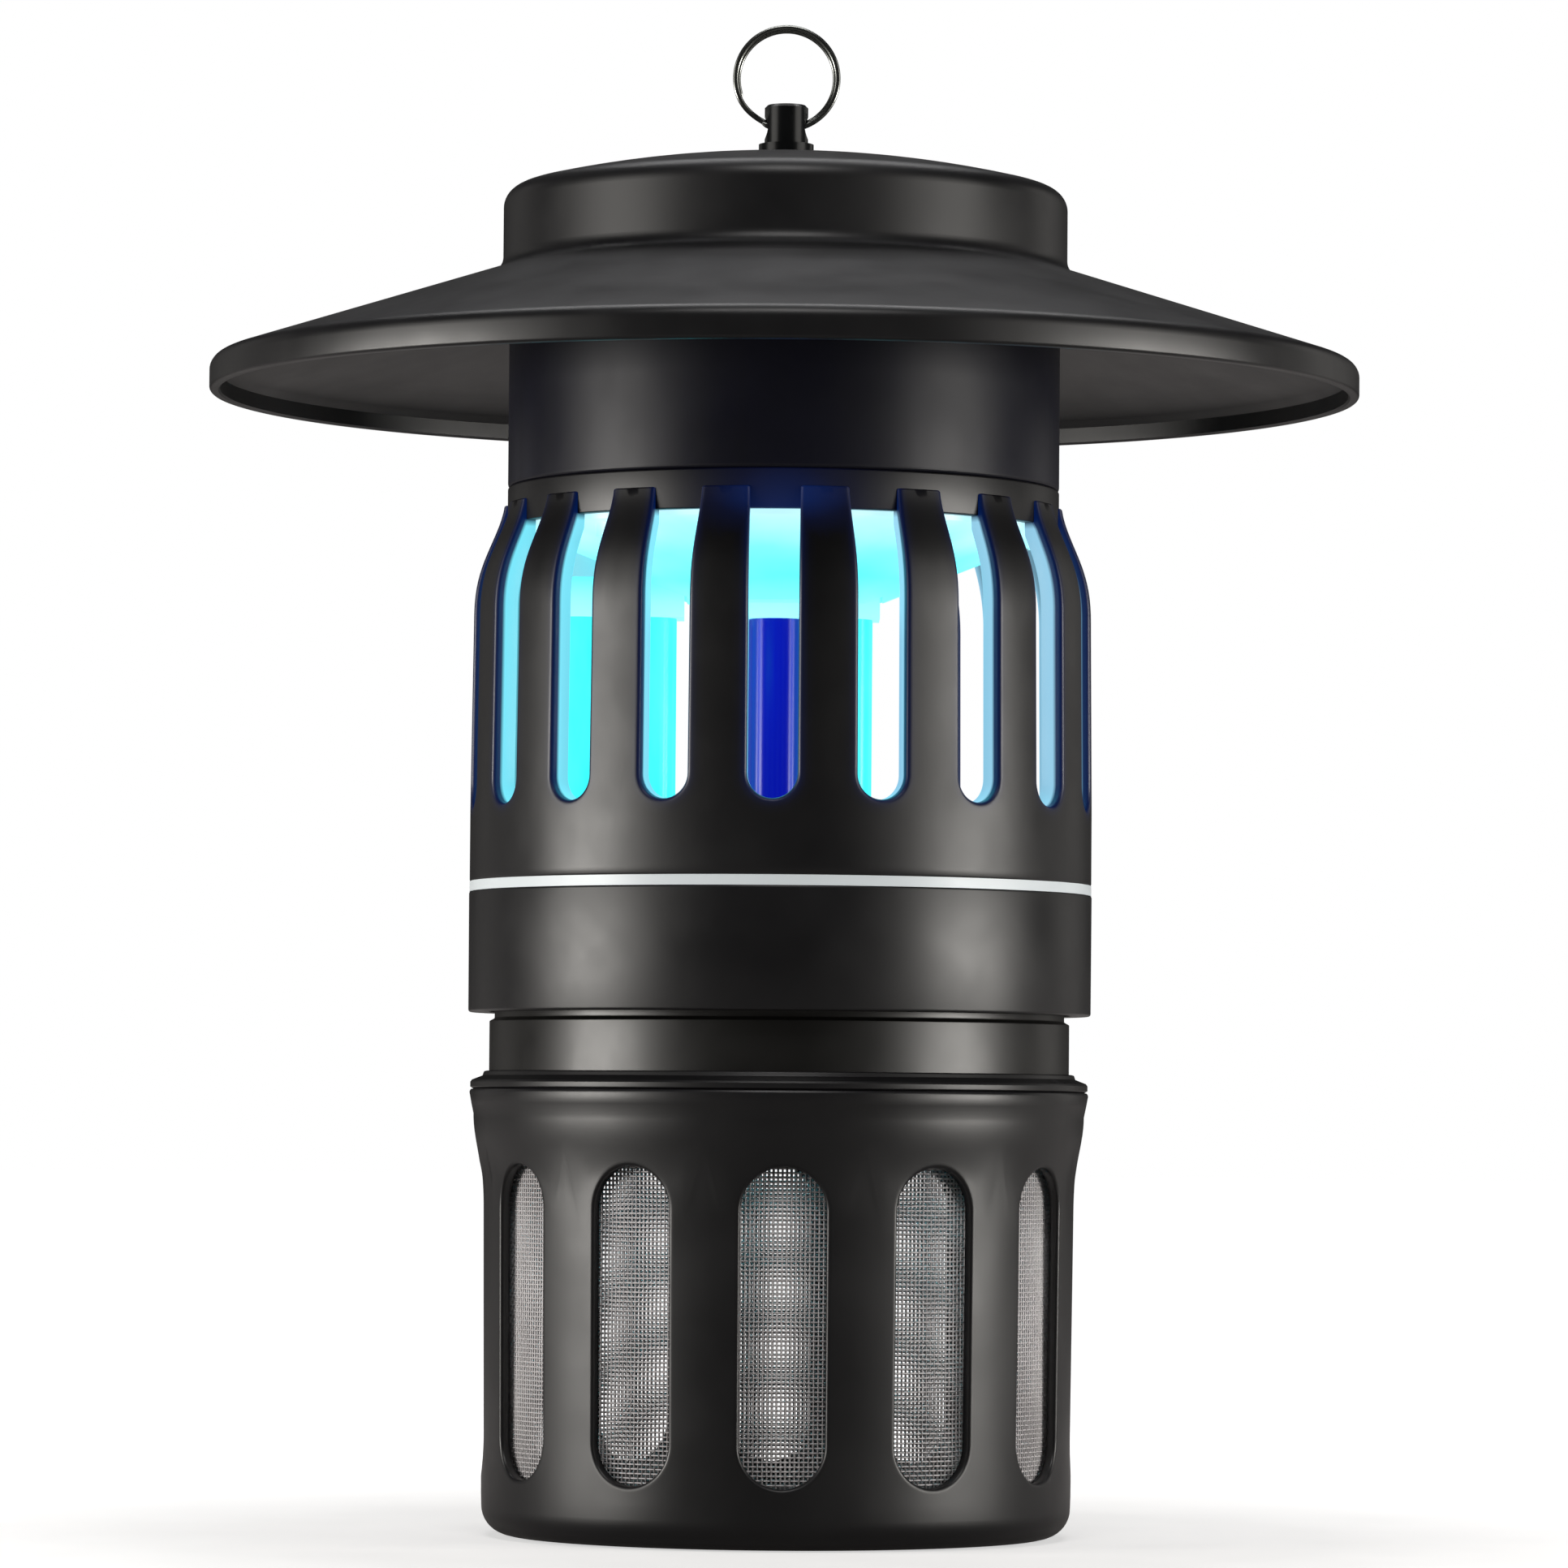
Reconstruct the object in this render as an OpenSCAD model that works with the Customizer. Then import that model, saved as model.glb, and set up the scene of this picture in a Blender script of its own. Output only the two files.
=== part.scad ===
// Hanging ultraviolet fan trap for flying insects.
// Lamps behind a slotted cage draw insects in, a fan pulls them down a funnel,
// and a mesh-lined basket under the fan holds them.
// Millimetres, +Z up. The basket stands on z = 0, the axis is x = y = 0, and the front faces -Y.

/* [Roof] */
// Radius of the brim
hat_r = 125; // [118:1:134]
// Angle of the brim below level
brim_a = 18; // [16:0.5:20]
// Radius of the sphere that the dome is cut from
dome_sphere_r = 240; // [200:5:300]

/* [Body] */
// Outer radius of the cage, skirt and white ring
body_r = 67.5; // [67:0.1:68]
// Outer radius of the neck
neck_r = 60; // [59.5:0.1:60.4]
// Height of the neck between the cage and the brim
neck_h = 45.4; // [43:0.1:52]
// Wall of the black mouldings
wall = 2.4; // [2.2:0.1:2.6]

/* [Cage] */
// Number of slots around the cage
cage_slots = 18; // [15:1:18]
// Width of a cage slot
cage_slot_w = 10.6; // [9:0.1:12]
// Turn of the cage pattern from the front
cage_turn = -1.6; // [-3:0.1:3]

/* [Lamps] */
// Across a lamp tube
lamp_tube_d = 12; // [10:0.5:12]
// Between the middles of a lamp's two legs
lamp_leg_pitch = 15; // [13.5:0.5:15]

/* [Basket] */
// Height of the basket from the base to its rim
basket_h = 96; // [95:0.5:98]
// Number of windows around the basket
basket_slots = 12; // [8:1:14]
// Width of a basket window
basket_slot_w = 18; // [12:0.5:20]
// Turn of the basket pattern from the front
basket_turn = 1.1; // [-3:0.1:3]

/* [Fan] */
// Number of fan blades
blades = 7; // [5:1:9]
// Radius of the blade tips
blade_tip_r = 48; // [44:0.5:49]

/* [Hidden] */
$fn = 96;

charcoal = "#2b2a2a";
black = "#121212";
white = "#e8eef2";
steel = "#b9bcc0";

// Levels, from the base up
seal_h = 2.4;
band_h = 14.2;
skirt_h = 26.1;
flange_h = 2.2;
cage_h = 85.6;
skirt_z = basket_h + seal_h + band_h;
flange_z = skirt_z + skirt_h;
cage_z = flange_z + flange_h;
neck_z = cage_z + cage_h;
brim_z = neck_z + neck_h;

// Roof: a brim cone that meets the drum in a fillet, and a dome on the drum
drum_r = neck_r + 1.5;
root_round = 4;
edge_round = 4.5;
lip_round = 3;
roof_top = brim_z + 27.4;
lip_z = brim_z - 25.1;
dome_c = roof_top - dome_sphere_r;
edge_r = drum_r - edge_round;
edge_c = dome_c + sqrt(pow(dome_sphere_r - edge_round, 2) - pow(edge_r, 2));
edge_a = atan2(edge_c - dome_c, edge_r);
skin = wall / cos(brim_a);
deck_z = roof_top - 11.3;
stud_r = 2.5;
stud_hole_r = 2.7;

// Neck foot
neck_round = 0.9;

// Post and ring
post_r = 4.75;
post_top = roof_top + 11.7;
eye_z = roof_top + 6.7;
eye_r = 2.5;
ring_r = 10.9;
ring_wire = 1.4;
ring_turn_gap = 1.2;

// Cage
cage_wall = 2.6;
rib_depth = 5.4;
cage_taper = 0.4;
slot_z = cage_z + 15.9;
slot_round = cage_slot_w / 2;
slot_mid = slot_z + slot_round;
rib_z = slot_mid + 2;
slot_top = neck_z - 8.5;
shoulder_z = neck_z - 29.5;
shoulder_h = 28.5;
shoulder_power = 1.35;
rib_top = neck_z - 3.8;
rib_kick_z = neck_z - 14.5;
rib_kick = 0.38;
cage_start = -90 + cage_turn;
cage_pitch = 360 / cage_slots;
cage_boss_r = 61.8;
cage_screw_a = [38.4, 158.4, 278.4];

// Lamps hang side by side in a white dish
dish_z = neck_z - 24.9;
dish_flat_r = 20;
dish_r = neck_r - 2.7;
dish_edge_z = neck_z - 9.6;
dish_wall = 2;
dish_flange_z = neck_z - 4.2;
lamp_x = [-36.5, 6.1];
lamp_base = [30, 15, 8.5];
lamp_top = neck_z - 28;
lamp_end = neck_z - 79.5;
lamp_glass = 1;
lamp_pin_r = 1.2;
socket = [31, 18, 15];
screw_r = 1.3;
screw_bore_r = 1.35;
plate_screw_r = 52;
plate_screw_a = [106.3, 226.3, 346.3];
board_z = neck_z + 5.5;
board_t = 1.6;
board_r = 49;
gland_z = neck_z + 10.5;
gland_bore_r = 3.2;

// Fan section
throat_r = 50;
shroud_z = 112;
duct_in = 60.5;
duct_out = 62.9;
duct_z = 86;
duct_top = flange_z - 7.7;
ledge_z = 90.8;
ledge_in = 53.5;
bracket_z = 93;
bracket_t = 3;
bracket_screw_r = 56.8;
lead_a = 138.4;
lead_r = 2;
lead_at = 54.5;
lead_bend = 6;
motor_z = bracket_z + bracket_t;
motor_r = 15;
motor_h = 18;
shaft_r = 1.5;
bush_gap = 0.02;
fan_z = motor_z + 22.4;
fan_h = 11.6;
hub_r = 14;

// Basket
base_round = 6.2;
base_r = 63.7;
base_top_r = 64.4;
flare_z = 76;
flare_h = 14.7;
rim_r = 67.1;
basket_wall = 2.2;
rim_in = 65.2;
window_z = 13;
window_h = 66.9;
mesh_r = 61;
mesh_t = 0.8;
mesh_z = 4.5;
mesh_top = 84;

// Points along an arc in a profile, from angle a0 to a1
function arc(cx, cz, r, a0, a1, n = 6) =
    [for (i = [0:n]) let (a = a0 + (a1 - a0) * i / n) [cx + r * cos(a), cz + r * sin(a)]];

// Smooth step from 0 to 1
function ease(t) = (1 - cos(180 * t)) / 2;

// Height of the brim's top face at radius r
function brim(r) = brim_z + 1.3 - tan(brim_a) * (r - drum_r - 2.7);

// Outer radius of the cage at height z: a near-straight wall, then a shoulder up to the neck,
// where the ribs end a little proud of the collar
function cage_r(z) = z <= shoulder_z
    ? body_r - cage_taper * max(0, (z - slot_z) / (shoulder_z - slot_z))
    : neck_r + (body_r - cage_taper - neck_r)
        * (1 - ease(pow(min(1, (z - shoulder_z) / shoulder_h), shoulder_power)))
        + rib_kick * pow(max(0, (z - rib_kick_z) / (rib_top - rib_kick_z)), 2);

// Outer radius of the basket above its base round
function basket_r(z) = z <= flare_z
    ? base_r + (base_top_r - base_r) * z / flare_z
    : base_top_r + (rim_r - base_top_r) * ease(min(1, (z - flare_z) / flare_h));

module tube(inner, outer, z0, z1) {
    rotate_extrude()
        translate([inner, z0])
            square([outer - inner, z1 - z0]);
}

module rod(r, z0, z1) {
    translate([0, 0, z0])
        cylinder(r = r, h = z1 - z0);
}

// Children repeated at a radius, at each angle of a list
module at(r, angles) {
    for (a = angles)
        rotate([0, 0, a])
            translate([r, 0, 0])
                children();
}

// A pan-head screw that points up from under_z, its head below
module screw_up(under_z, length) {
    rod(2.5, under_z - 2.2, under_z);
    rod(screw_r, under_z - 0.1, under_z + length);
}

// A pan-head screw that points down from top_z, its head above
module screw_down(top_z, length) {
    rod(2.5, top_z, top_z + 2);
    rod(screw_r, top_z - length, top_z + 0.1);
}

// ---- Roof, post and ring ----

module roof_hat() {
    outer = concat(
        [[hat_r, lip_z]],
        arc(hat_r - lip_round, brim(hat_r - lip_round) - lip_round / cos(brim_a),
            lip_round, 0, 90 - brim_a, 4),
        arc(drum_r + root_round, brim(drum_r + root_round) + root_round / cos(brim_a),
            root_round, 270 - brim_a, 180, 4),
        arc(edge_r, edge_c, edge_round, 0, edge_a, 5),
        arc(0, dome_c, dome_sphere_r, edge_a, 90 - asin(stud_hole_r / dome_sphere_r), 6));
    in_r = dome_sphere_r - wall;
    inner = concat(
        arc(0, dome_c, in_r, 90 - asin(stud_hole_r / in_r), edge_a, 6),
        arc(edge_r, edge_c, edge_round - wall, edge_a, 0, 3),
        [[drum_r - wall, brim(drum_r - wall) - skin],
         [hat_r - wall, brim(hat_r - wall) - skin],
         [hat_r - wall, lip_z]]);
    color(charcoal) {
        rotate_extrude()
            polygon(concat(outer, inner));
        tube(stud_hole_r, 8, deck_z, roof_top - wall + 0.2);
    }
}

module ring_post() {
    color(black)
        difference() {
            union() {
                rod(6, roof_top + 0.02, roof_top + 3.1);
                rod(post_r, roof_top + 3, post_top - 0.6);
                translate([0, 0, post_top - 0.6])
                    cylinder(r1 = post_r, r2 = post_r - 0.6, h = 0.6);
                rod(stud_r, deck_z - 12, roof_top + 1);
            }
            translate([0, 0, eye_z])
                rotate([0, 90, 0])
                    cylinder(r = eye_r, h = 20, center = true);
        }
}

module post_washer() {
    color(steel)
        tube(stud_hole_r, 7, deck_z - 4, deck_z - 2.5);
}

module post_nut() {
    color(steel)
        difference() {
            translate([0, 0, deck_z - 8.5])
                cylinder(r = 5, h = 4.5, $fn = 6);
            rod(stud_r, deck_z - 9, deck_z - 3);
        }
}

// A split ring of two turns side by side, upright in the post's eye
module hang_ring() {
    color(steel)
        translate([0, 0, eye_z + ring_r])
            rotate([90, 0, 0])
                rotate_extrude()
                    translate([ring_r, 0]) {
                        square([ring_wire, ring_turn_gap], center = true);
                        for (s = [-1, 1])
                            translate([0, s * ring_turn_gap / 2])
                                circle(d = ring_wire, $fn = 32);
                    }
}

// ---- Neck and its electrics ----

module neck_housing() {
    in_r = neck_r - wall;
    spigot_r = drum_r - wall - 0.2;
    color(charcoal)
        difference() {
            union() {
                rotate_extrude()
                    polygon(concat(
                        [[in_r, neck_z]],
                        arc(neck_r - neck_round, neck_z + neck_round, neck_round, -90, 0, 4),
                        [[neck_r, brim_z], [spigot_r, brim_z], [spigot_r, deck_z],
                         [stud_hole_r, deck_z], [stud_hole_r, deck_z - 2.5],
                         [spigot_r - wall, deck_z - 2.5], [spigot_r - wall, brim_z - 2.5],
                         [in_r, brim_z - 5]]));
                at(plate_screw_r, plate_screw_a) {
                    rod(4, dish_flange_z + dish_wall + 0.1, board_z);
                    translate([0, -3.5, neck_z])
                        cube([6.6, 7, board_z - neck_z]);
                }
            }
            at(plate_screw_r, plate_screw_a)
                rod(screw_bore_r, neck_z - 5, board_z + 1);
            translate([0, neck_r, gland_z])
                rotate([90, 0, 0])
                    cylinder(r = 5.1, h = 20, center = true);
        }
}

// The inlet for the supply cord, at the back of the neck
module cord_gland() {
    color(black)
        translate([0, 0, gland_z])
            rotate([-90, 0, 0])
                difference() {
                    union() {
                        rod(5, neck_r - 10, neck_r + 2);
                        rod(7.5, neck_r + 0.05, neck_r + 2);
                        translate([0, 0, neck_r + 2])
                            cylinder(r1 = 7.5, r2 = 6.9, h = 0.6);
                        translate([0, 0, neck_r - 8])
                            cylinder(r = 7.5, h = 4.9, $fn = 6);
                    }
                    rod(gland_bore_r, neck_r - 11, neck_r + 3);
                }
}

module ballast_board() {
    color("#2f6b3a")
        difference() {
            rod(board_r + 6, board_z, board_z + board_t);
            at(plate_screw_r, plate_screw_a)
                rod(screw_bore_r, board_z - 1, board_z + 3);
            for (a = [90, lead_a])
                rotate([0, 0, a])
                    translate([board_r - 1, -12, board_z - 1])
                        cube([20, 24, 4]);
        }
}

module board_screws() {
    color(steel)
        at(plate_screw_r, plate_screw_a)
            screw_down(board_z + board_t, 4.5);
}

// Laminated core with its winding
module ballast_choke() {
    color("#7a5a3a")
        translate([-14, -12, board_z + board_t]) {
            translate([-19, -16, 0])
                cube([38, 32, 8]);
            translate([-19, -10, 8])
                cube([38, 20, 12]);
            translate([-19, -16, 20])
                cube([38, 32, 6]);
        }
}

module capacitor() {
    color("#3a4f7a")
        translate([24, -14, board_z + board_t])
            cylinder(r = 9, h = 28);
}

module terminal_block() {
    color(white)
        difference() {
            rotate([0, 0, lead_a])
                translate([33, -9, board_z + board_t])
                    cube([11, 18, 14]);
            rotate([0, 0, lead_a])
                for (y = [-4.5, 4.5])
                    translate([38.5, y, board_z + board_t + 8])
                        cylinder(r = 2, h = 8);
        }
}

// ---- Lamps ----

// White dish that closes the top of the lamp chamber and throws light down
module lamp_plate() {
    lift = 2.15;
    color(white)
        difference() {
            union() {
                rotate_extrude()
                    polygon([[0, dish_z], [dish_flat_r, dish_z], [dish_r, dish_edge_z],
                             [dish_r, dish_flange_z + dish_wall],
                             [dish_r - 8.3, dish_flange_z + dish_wall],
                             [dish_r - 8.3, dish_flange_z], [dish_r - 2, dish_flange_z],
                             [dish_r - 2, dish_edge_z + lift - 0.8],
                             [dish_flat_r - 0.5, dish_z + lift], [0, dish_z + lift]]);
                at(plate_screw_r, plate_screw_a)
                    rod(4, dish_edge_z - 3.5, dish_flange_z + 0.5);
            }
            at(plate_screw_r, plate_screw_a)
                rod(screw_bore_r, dish_edge_z - 8, neck_z);
            for (x = lamp_x)
                translate([x, 0, dish_z + 5])
                    cube([socket[0] + 0.4, socket[1] + 0.4, 30], center = true);
            rotate([0, 0, lead_a])
                translate([lead_at, 0, 0])
                    rod(lead_r + 0.3, dish_z, neck_z);
        }
}

module plate_screws() {
    color(steel)
        at(plate_screw_r, plate_screw_a)
            screw_up(dish_edge_z - 3.5, 14);
}

module lamp_sockets() {
    color(white)
        for (x = lamp_x)
            difference() {
                translate([x - socket[0] / 2, -socket[1] / 2, lamp_top + lamp_base[2]])
                    cube(socket);
                for (s = [-1, 1])
                    translate([x + s * lamp_leg_pitch / 2, 0, 0])
                        rod(lamp_pin_r + 0.1, lamp_top, lamp_top + lamp_base[2] + 7);
            }
}

module lamp_bases() {
    color(white)
        for (x = lamp_x)
            difference() {
                union() {
                    translate([x - lamp_base[0] / 2, -lamp_base[1] / 2, lamp_top])
                        cube(lamp_base);
                    for (s = [-1, 1])
                        translate([x + s * lamp_leg_pitch / 2, 0, 0])
                            rod(lamp_pin_r, lamp_top + 5, lamp_top + lamp_base[2] + 6);
                }
                for (s = [-1, 1])
                    translate([x + s * lamp_leg_pitch / 2, 0, 0])
                        rod(lamp_tube_d / 2 + 0.05, lamp_top - 1, lamp_top + 1.5);
            }
}

// The inside or outside of one U lamp: two legs with round ends and a bridge
module lamp_form(r, bridge_r, top) {
    low = lamp_end + lamp_tube_d / 2;
    for (s = [-1, 1])
        translate([s * lamp_leg_pitch / 2, 0, 0]) {
            rod(r, low, top);
            translate([0, 0, low])
                sphere(r = r);
        }
    translate([0, 0, low + 1])
        rotate([0, 90, 0])
            cylinder(r = bridge_r, h = lamp_leg_pitch, center = true);
}

module lamp_tubes() {
    color("#1fd6f2")
        for (x = lamp_x)
            translate([x, 0, 0])
                difference() {
                    lamp_form(lamp_tube_d / 2, 3.6, lamp_top + 1.5);
                    lamp_form(lamp_tube_d / 2 - lamp_glass, 2.6, lamp_top + 2);
                }
}

// ---- Cage ----

// One slot, cut outward from the axis, round at the bottom and square at the top
module cage_slot(from_r) {
    translate([from_r, 0, slot_mid])
        rotate([0, 90, 0])
            cylinder(r = slot_round, h = 30);
    translate([from_r, -slot_round, slot_mid])
        cube([30, cage_slot_w, neck_z - slot_mid - 2]);
}

module cage_slot_ring() {
    for (i = [0:cage_slots - 1])
        rotate([0, 0, cage_start + i * cage_pitch])
            cage_slot(45);
}

// The deep wall that the ribs are cut from, between two heights
module rib_shell(z0, z1, steps) {
    step = (z1 - z0) / steps;
    in_r = neck_r - wall;
    rotate_extrude()
        polygon(concat(
            [for (i = [0:steps]) [cage_r(z0 + i * step), z0 + i * step]],
            [for (i = [steps:-1:0]) [max(in_r, cage_r(z0 + i * step) - rib_depth), z0 + i * step]]));
}

module cage_collar() {
    in_r = neck_r - wall;
    step = (rib_top - slot_top) / 3;
    color(charcoal)
        difference() {
            rotate_extrude()
                polygon(concat(
                    [[in_r, slot_top]],
                    [for (i = [0:3]) [cage_r(slot_top + i * step), slot_top + i * step]],
                    [[neck_r, rib_top], [neck_r, neck_z - 0.5], [neck_r - 0.4, neck_z],
                     [in_r, neck_z]]));
            difference() {
                cage_slot_ring();
                rod(neck_r, slot_mid - 10, neck_z + 1);
            }
        }
}

module cage_ribs() {
    color(charcoal)
        difference() {
            union() {
                rib_shell(rib_z, shoulder_z, 1);
                rib_shell(shoulder_z, slot_top, 8);
            }
            cage_slot_ring();
        }
}

module cage_band() {
    color(charcoal)
        difference() {
            union() {
                rotate_extrude()
                    polygon([[body_r, cage_z], [cage_r(rib_z), rib_z],
                             [cage_r(rib_z) - rib_depth, rib_z], [body_r - rib_depth, slot_z - 1.5],
                             [body_r - cage_wall, slot_z - 5.5], [body_r - cage_wall, cage_z]]);
                at(cage_boss_r, cage_screw_a) {
                    rod(3.4, cage_z, cage_z + 9);
                    translate([0, -2.9, cage_z])
                        cube([4.2, 5.8, 9]);
                }
            }
            cage_slot_ring();
            at(cage_boss_r, cage_screw_a)
                rod(screw_bore_r, cage_z - 1, cage_z + 8.5);
        }
}

module cage_screws() {
    color(steel)
        at(cage_boss_r, cage_screw_a)
            screw_up(flange_z, 10);
}

// ---- Fan section ----

// White funnel: its rim shows between the cage and the skirt, and its shroud surrounds the fan
module attractant_funnel() {
    color(white)
        difference() {
            union() {
                rotate_extrude()
                    polygon([[body_r, flange_z], [body_r, cage_z], [58.8, cage_z],
                             [throat_r, cage_z - 9.3], [throat_r, shroud_z],
                             [throat_r + 1.6, shroud_z], [throat_r + 1.6, cage_z - 9.9],
                             [58.9, flange_z]]);
                at(bracket_screw_r, [lead_a - 60, lead_a + 60, lead_a + 180])
                    rod(3, motor_z, flange_z + 0.5);
            }
            at(bracket_screw_r, [lead_a - 60, lead_a + 60, lead_a + 180])
                rod(screw_bore_r, motor_z - 1, motor_z + 12);
            at(cage_boss_r, cage_screw_a)
                rod(screw_r + 0.2, flange_z - 1, cage_z + 1);
            rotate([0, 0, lead_a])
                translate([lead_at, 0, 0])
                    rod(lead_r + 0.3, shroud_z, cage_z + 1);
        }
}

module fan_skirt() {
    color(charcoal)
        rotate_extrude()
            polygon([[duct_out + 0.05, skirt_z], [body_r - 0.9, skirt_z],
                     [body_r + 0.05, skirt_z + 1], [body_r + 0.15, flange_z],
                     [64.6, flange_z], [64.6, flange_z - wall], [body_r - 2.3, flange_z - wall],
                     [body_r - 2.3, skirt_z + wall], [duct_out + 0.05, skirt_z + wall]]);
}

// Glossy duct: the basket pushes on over its lower end, and a ledge inside holds the bracket
module fan_duct() {
    color(black)
        difference() {
            rotate_extrude()
                polygon([[duct_in, duct_top], [duct_out, duct_top], [duct_out, skirt_z],
                         [duct_out + 0.6, skirt_z - 0.1], [duct_out + 0.6, skirt_z - 0.8],
                         [duct_out, skirt_z - 1.2], [duct_out, 90.4], [duct_out - 0.4, 90],
                         [duct_out - 0.4, 88.4], [duct_out, 88], [duct_out, duct_z + 0.6],
                         [duct_out - 0.6, duct_z], [duct_in, duct_z], [duct_in, ledge_z],
                         [ledge_in, ledge_z], [ledge_in, bracket_z], [duct_in, bracket_z]]);
            at(bracket_screw_r, [lead_a - 60, lead_a + 60, lead_a + 180])
                rod(screw_r + 0.2, ledge_z - 1, bracket_z + 1);
        }
}

// Ring with three arms and a seat for the motor
module motor_bracket() {
    color(steel)
        difference() {
            union() {
                tube(ledge_in, duct_in - 0.3, bracket_z, motor_z);
                rod(motor_r + 1, bracket_z, motor_z);
                for (a = [lead_a, lead_a + 120, lead_a + 240])
                    rotate([0, 0, a])
                        translate([10, -3, bracket_z])
                            cube([ledge_in - 8, 6, bracket_t]);
            }
            rod(4, bracket_z - 1, motor_z + 1);
            at(bracket_screw_r, [lead_a - 60, lead_a + 60, lead_a + 180])
                rod(screw_r + 0.2, bracket_z - 1, motor_z + 1);
        }
}

module bracket_screws() {
    color(steel)
        at(bracket_screw_r, [lead_a - 60, lead_a + 60, lead_a + 180])
            screw_up(ledge_z, 14);
}

module motor_can() {
    color("#8a8d90")
        rotate_extrude()
            polygon([[3.05, motor_z], [motor_r, motor_z], [motor_r, motor_z + motor_h],
                     [motor_r - 1.1, motor_z + motor_h], [motor_r - 1.1, motor_z + 1.5],
                     [3.05, motor_z + 1.5]]);
}

module motor_end_cap() {
    color("#8a8d90")
        tube(3.05, motor_r, motor_z + motor_h, motor_z + motor_h + 2);
}

// Iron ring with six pole teeth
module motor_stator() {
    color("#9a5b2c") {
        tube(11.4, motor_r - 1.2, motor_z + 4, motor_z + 15);
        for (i = [0:5])
            rotate([0, 0, i * 60])
                translate([9.2, -2.5, motor_z + 4])
                    cube([2.6, 5, 11]);
    }
}

module motor_bushes() {
    color("#b8923e") {
        tube(shaft_r + bush_gap, 3, motor_z, motor_z + 3.5);
        tube(shaft_r + bush_gap, 3, motor_z + 16.5, motor_z + motor_h + 2.4);
    }
}

// From the terminal block, down behind a rib and in along a bracket arm to the motor
module motor_lead() {
    low = motor_z + lead_r + 0.2;
    high = board_z + board_t + 6.4;
    color(black)
        rotate([0, 0, lead_a]) {
            translate([lead_at, 0, 0])
                rod(lead_r, low + lead_bend, high - lead_bend);
            translate([lead_at - lead_bend, 0, low + lead_bend])
                rotate([90, 0, 0])
                    rotate_extrude(angle = -90)
                        translate([lead_bend, 0])
                            circle(r = lead_r);
            translate([lead_at - lead_bend, 0, high - lead_bend])
                rotate([90, 0, 0])
                    rotate_extrude(angle = 90)
                        translate([lead_bend, 0])
                            circle(r = lead_r);
            translate([motor_r + 0.05, 0, low])
                rotate([0, 90, 0])
                    cylinder(r = lead_r, h = lead_at - lead_bend - motor_r - 0.05);
            translate([44.05, 0, high])
                rotate([0, 90, 0])
                    cylinder(r = lead_r, h = lead_at - lead_bend - 44.05);
        }
}

module motor_shaft() {
    color(steel)
        rod(shaft_r, motor_z + 0.2, fan_z + fan_h + 2);
}

module motor_rotor() {
    color("#6d6f72")
        tube(shaft_r, 8.3, motor_z + 4.5, motor_z + 14.5);
}

// Hub cup over the motor, with pitched blades
module fan_impeller() {
    color("#1a1a1c") {
        difference() {
            tube(shaft_r, hub_r, fan_z, fan_z + fan_h);
            tube(5, hub_r - 2, fan_z - 1, fan_z + fan_h - 2.4);
        }
        for (i = [0:blades - 1])
            rotate([0, 0, i * 360 / blades])
                intersection() {
                    tube(hub_r - 0.5, blade_tip_r, fan_z, fan_z + fan_h);
                    translate([hub_r - 3, 0, fan_z + fan_h / 2])
                        rotate([52, 0, 0])
                            translate([0, -0.9, -14])
                                cube([40, 1.8, 28]);
                }
    }
}

module impeller_clip() {
    color(steel)
        tube(shaft_r, 4, fan_z + fan_h, fan_z + fan_h + 1.2);
}

// ---- Basket ----

// Lip ring of rubber: its sloping top shows, and its skirt fills the gap to the duct
module basket_seal() {
    in_r = duct_out + 0.35;
    color(black)
        rotate_extrude()
            polygon([[in_r, basket_h - 3], [in_r, basket_h + 3.1], [66.95, basket_h + 1.5],
                     [66.95, basket_h + 0.3], [rim_in - 0.3, basket_h + 0.3],
                     [rim_in - 0.3, basket_h - 3]]);
}

module basket_window() {
    translate([45, 0, window_z + basket_slot_w / 2])
        rotate([90, 0, 90])
            linear_extrude(30)
                union() {
                    translate([-basket_slot_w / 2, 0])
                        square([basket_slot_w, window_h - basket_slot_w]);
                    circle(d = basket_slot_w);
                    translate([0, window_h - basket_slot_w])
                        circle(d = basket_slot_w);
                }
}

module basket_cup() {
    flare_steps = 5;
    flare = [for (i = [0:flare_steps]) flare_z + flare_h * i / flare_steps];
    round_in = base_round - basket_wall;
    color(charcoal) {
        difference() {
            rotate_extrude()
                polygon(concat(
                    [[0, 0]],
                    arc(base_r - base_round, base_round, base_round, -90, 0, 5),
                    [for (z = flare) [basket_r(z), z]],
                    [[rim_r, basket_h - 0.5], [rim_r - 0.4, basket_h], [rim_in, basket_h],
                     [rim_in, flare_z + flare_h + 0.6]],
                    [for (i = [flare_steps:-1:0]) [basket_r(flare[i]) - basket_wall, flare[i]]],
                    arc(base_r - base_round, base_round, round_in, 0, -90, 4),
                    [[0, basket_wall]]));
            for (i = [0:basket_slots - 1])
                rotate([0, 0, -90 + basket_turn + i * 360 / basket_slots])
                    basket_window();
        }
        // Bumps that click into the duct's groove
        for (a = [30, 150, 270])
            rotate([0, 0, a - 8])
                rotate_extrude(angle = 16)
                    polygon([[65.7, 86.4], [duct_out + 0.3, 88.2], [duct_out + 0.3, 90],
                             [66, 91.6]]);
    }
}

module mesh_liner() {
    color("#9b9a98")
        tube(mesh_r - mesh_t, mesh_r, mesh_z, mesh_top);
}

module mesh_hoops() {
    color(steel) {
        tube(mesh_r - mesh_t - 1, mesh_r - mesh_t, mesh_z, mesh_z + 3);
        tube(mesh_r - mesh_t - 1, mesh_r - mesh_t, mesh_top - 3, mesh_top);
    }
}

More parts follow.
